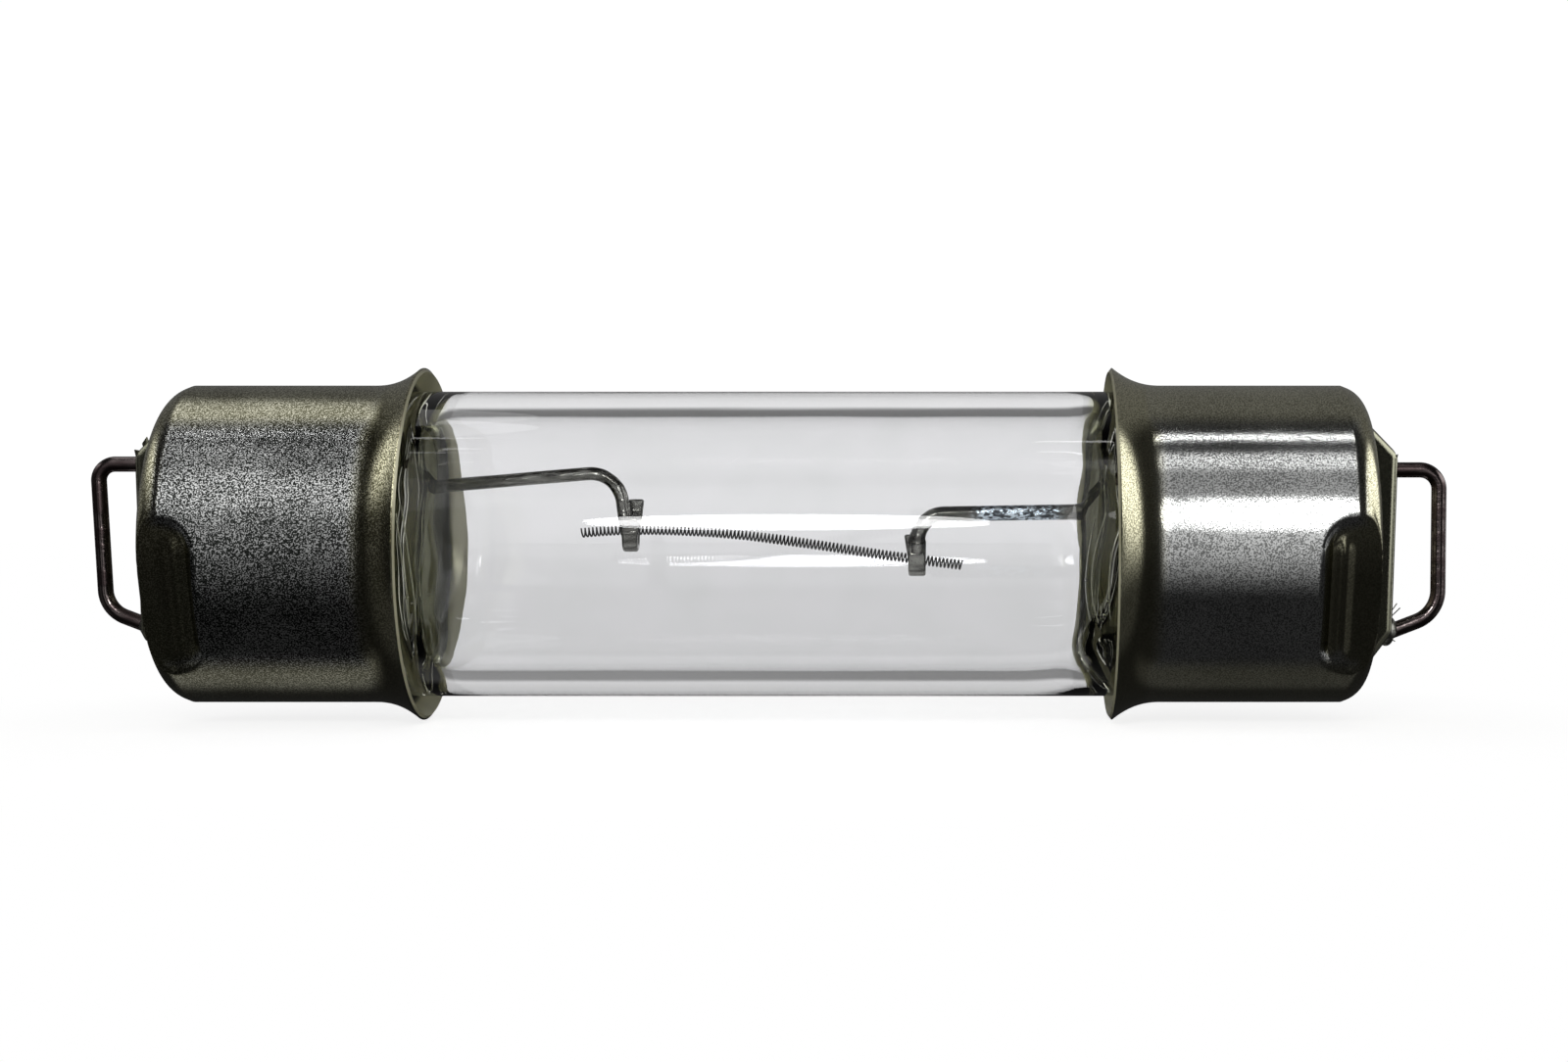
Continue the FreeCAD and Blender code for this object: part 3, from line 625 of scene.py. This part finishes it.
def makeCap(end, side):
    stations = [(place * side, radius) for place, radius in capStations()]
    piece = startRing("end_cap_shell_" + end, stations[0][0], stations[0][1], cap["round"])
    drawRings(stations)
    bpy.ops.mesh.edge_face_add()
    bpy.ops.mesh.select_mode(type="FACE")
    flat = cap["end"] - 0.001
    for across in (-cap["ribWide"], cap["ribWide"]):
        pick(piece, "FACE", lambda spot: spot.x * side > flat and math.hypot(spot.y, spot.z) < 3.9)
        bpy.ops.mesh.bisect(plane_co=(0, across * mm, 0), plane_no=(0, 1, 0))
    for tall in (-cap["ribHalf"], cap["ribHalf"]):
        pick(piece, "FACE", lambda spot: spot.x * side > flat and abs(spot.y) < 0.5 and abs(spot.z) < 3.6)
        bpy.ops.mesh.bisect(plane_co=(0, 0, tall * mm), plane_no=(0, 0, 1))
    pick(piece, "FACE", lambda spot: spot.x * side > flat and math.hypot(spot.y, spot.z) < 0.5)
    bpy.ops.mesh.extrude_region_move(TRANSFORM_OT_translate={"value": (cap["ribHigh"] * side * mm, 0, 0)})
    top = (cap["end"] + cap["ribHigh"]) * side * mm
    bpy.ops.transform.resize(value=(1, 0.9, (cap["ribHalf"] - cap["ribHigh"]) / cap["ribHalf"]),
                             center_override=(top, 0, 0))
    pick(piece, "VERT", lambda spot: spot.x * side > cap["end"] + 0.9 and spot.z < 0)
    bpy.ops.transform.translate(value=(-0.2 * side * mm, 0, 0))
    pick(piece, "EDGE", lambda spot: spot.x * side > cap["end"] + 0.3)
    bpy.ops.mesh.bevel(offset=cap["ribEdge"] * mm, segments=4, profile=0.5)
    leaveEdit(piece, 40)
    pressDents(piece, side)
    clearSelection()
    piece.select_set(True)
    applyModifier(piece, "SOLIDIFY", thickness=cap["sheet"] * mm, offset=-1.0)
    smooth(piece, 40)
    joinPieces(piece, [makePetal(end, index, corners) for index, corners in enumerate(cap["petals"][end])])
    settle(piece, capMaterials[end], "plated_cap", "end_cap_" + end)


for end, side in ends.items():
    makeCap(end, side)
print("end caps made")


# Wires: bent rods drawn as curves with a round section
loop = {"wire": 0.24,
        "left": {"points": [(12.6, 2.49), (20.96, 2.49), (20.68, -2.06), (17.78, -3.17)], "bends": [0.5, 0.95]},
        "right": {"points": [(12.6, 2.31), (20.96, 2.31), (20.91, -2.17), (17.78, -3.37)], "bends": [0.6, 1.05]}}
lead = {"left": {"wire": 0.21, "points": [(12.6, 2.49), (10.5, 1.79), (4.66, 2.27), (4.45, 0.7)], "bends": [1.4, 1.0]},
        "right": {"wire": 0.24, "points": [(12.6, 2.31), (10.2, 1.0), (4.66, 0.93), (4.66, -0.3)], "bends": [1.5, 0.85]}}


def bendWire(name, side, points, bends, radius, depth=0.0):
    # straight runs joined by round bends, each bend two points with handles towards its corner
    corners = [Vector((x * side, depth, z)) for x, z in points]
    knots = [(corners[0], corners[0], corners[0])]
    for before, corner, after, bend in zip(corners, corners[1:], corners[2:], bends):
        arriving = (corner - before).normalized()
        leaving = (after - corner).normalized()
        angle = arriving.angle(leaving)
        back = bend * math.tan(angle / 2)
        handle = bend * 4 / 3 * math.tan(angle / 4)
        start, stop = corner - arriving * back, corner + leaving * back
        knots.append((start - arriving * handle, start, start + arriving * handle))
        knots.append((stop - leaving * handle, stop, stop + leaving * handle))
    knots.append((corners[-1], corners[-1], corners[-1]))
    clearSelection()
    bpy.ops.curve.primitive_bezier_curve_add(location=(0, 0, 0))
    wire = bpy.context.object
    wire.name = name
    wire.data.dimensions = "3D"
    spline = wire.data.splines[0]
    spline.bezier_points.add(len(knots) - 2)
    for point, (left, middle, right) in zip(spline.bezier_points, knots):
        point.handle_left_type = "FREE"
        point.handle_right_type = "FREE"
        point.co = middle * mm
        point.handle_left = left * mm
        point.handle_right = right * mm
    wire.data.resolution_u = 20
    wire.data.bevel_depth = radius * mm
    wire.data.bevel_resolution = 6
    wire.data.use_fill_caps = True
    bpy.ops.object.convert(target="MESH")
    wire = bpy.context.object
    wire.name = name
    bpy.ops.object.mode_set(mode="EDIT")
    leaveEdit(wire, 60)
    return wire


for end, side in ends.items():
    rod = bendWire("loop_rod_" + end, side, loop[end]["points"], loop[end]["bends"], loop["wire"])
    settle(rod, loopMaterial, "oxidised_wire", "loop_wire_" + end)
print("loops made")


# Each lead ends in a flattened blade folded round the back of the coil
hook = {"sheet": 0.26, "gap": 0.36, "lean": 0.14,
        "left": {"place": 4.31, "wide": 0.66, "foot": 0.74, "top": 0.92, "bottom": -0.26, "stub": 1.42},
        "right": {"place": 4.64, "wide": 0.57, "foot": 0.96, "top": 0.4, "bottom": -1.02, "stub": 0.3}}


def makeHook(end, side):
    values = hook[end]
    middle = hook["sheet"] / 2 + hook["gap"] / 2
    centre = values["bottom"] + middle + hook["sheet"] / 2
    clearSelection()
    bpy.ops.mesh.primitive_plane_add(size=1, location=(values["place"] * side * mm, 0, values["top"] * mm))
    blade = bpy.context.object
    blade.name = "hook_" + end
    blade.scale = (values["wide"] * mm * 0.7, hook["sheet"] * mm, 1)
    bpy.ops.object.transform_apply(location=True, rotation=True, scale=True)
    bpy.ops.object.mode_set(mode="EDIT")
    bpy.ops.mesh.select_all(action="SELECT")
    drop = values["top"] - centre
    bpy.ops.mesh.extrude_region_move(TRANSFORM_OT_translate={"value": (0, 0, -drop * 0.35 * mm)})
    bpy.ops.transform.resize(value=(1 / 0.7, 1, 1))
    bpy.ops.mesh.extrude_region_move(TRANSFORM_OT_translate={"value": (0, 0, -drop * 0.65 * mm)})
    bpy.ops.transform.resize(value=(values["foot"], 1, 1))
    bpy.ops.mesh.spin(steps=10, angle=-math.pi, axis=(1, 0, 0),
                      center=(values["place"] * side * mm, middle * mm, centre * mm))
    bpy.ops.mesh.extrude_region_move(
        TRANSFORM_OT_translate={"value": (-hook["lean"] * side * mm, 0, (values["stub"] - centre) * mm)})
    leaveEdit(blade, 50)
    applyModifier(blade, "BEVEL", width=0.085 * mm, segments=3, limit_method="ANGLE")
    smooth(blade, 50)
    return blade


for end, side in ends.items():
    rod = bendWire("lead_rod_" + end, side, lead[end]["points"], lead[end]["bends"], lead[end]["wire"])
    joinPieces(rod, [makeHook(end, side)])
    settle(rod, leadMaterial, "lead_wire", "inner_lead_" + end)
print("leads made")


# Filament: one turn screwed along, then laid on its own sagging line
coil = {"wire": 0.028, "radius": 0.136, "pitch": 0.1197, "turns": 100, "depth": 0.31,
        "line": [(-5.85, 0.33), (-5.0, 0.41), (-4.1, 0.44), (-2.6, 0.41), (-1.0, 0.3), (0.6, 0.1), (2.2, -0.14),
                 (3.7, -0.38), (4.9, -0.53), (6.15, -0.69)]}


def makeCoil():
    clearSelection()
    bpy.ops.mesh.primitive_circle_add(vertices=6, radius=coil["wire"] * mm, location=(0, 0, coil["radius"] * mm),
                                      rotation=(math.pi / 2, 0, 0))
    piece = bpy.context.object
    piece.name = "filament_coil"
    bpy.ops.object.transform_apply(location=True, rotation=True, scale=True)
    applyModifier(piece, "SCREW", axis="X", steps=14, render_steps=14, iterations=coil["turns"],
                  screw_offset=coil["pitch"] * mm, use_merge_vertices=False)
    clearSelection()
    bpy.ops.curve.primitive_nurbs_path_add(location=(0, 0, 0))
    line = bpy.context.object
    spline = line.data.splines[0]
    spline.points.add(len(coil["line"]) - len(spline.points))
    for point, (x, z) in zip(spline.points, coil["line"]):
        point.co = (x * mm, coil["depth"] * mm, z * mm, 1)
    spline.order_u = 4
    spline.use_endpoint_u = True
    line.data.resolution_u = 24
    clearSelection()
    piece.select_set(True)
    applyModifier(piece, "CURVE", object=line, deform_axis="POS_X")
    bpy.data.objects.remove(line)
    bpy.context.view_layer.objects.active = piece
    bpy.ops.object.mode_set(mode="EDIT")
    leaveEdit(piece, 80)
    settle(piece, coilMaterial, "tungsten", "filament")


makeCoil()
print("filament made")


# Solder: a small uneven mound where the loop goes back into the rib
solder = {"left": {"place": 19.3, "height": -2.5, "hairs": [[(19.3, -2.1), (19.5, -1.85)]]},
          "right": {"place": 19.3, "height": -2.66,
                    "hairs": [[(19.3, -2.4), (19.72, -2.0)], [(19.3, -2.3), (19.62, -1.86)],
                              [(19.35, -2.9), (19.56, -3.05)]]}}


def makeSolder(end, side):
    clearSelection()
    bpy.ops.mesh.primitive_uv_sphere_add(segments=32, ring_count=20, radius=0.5 * mm,
                                         location=(solder[end]["place"] * side * mm, 0, solder[end]["height"] * mm))
    blob = bpy.context.object
    blob.name = "solder_mound_" + end
    blob.scale = (0.62, 0.9, 1.05)
    bpy.ops.object.transform_apply(location=True, rotation=True, scale=True)
    for vertex in blob.data.vertices:
        swell = noise.noise(vertex.co / mm * 2.3) * 0.12
        vertex.co += vertex.normal * swell * mm
    smooth(blob, 60)
    hairs = [bendWire("hair_" + end + str(index), side, points, [], 0.018, -0.12)
             for index, points in enumerate(solder[end]["hairs"])]
    joinPieces(blob, hairs)
    settle(blob, solderMaterial, "solder", "solder_" + end)


for end, side in ends.items():
    makeSolder(end, side)
print("solder made")

for node in ("basing_cement_left", "basing_cement_right"):
    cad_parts[node].data.materials.clear()
    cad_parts[node].data.materials.append(cementMaterial)
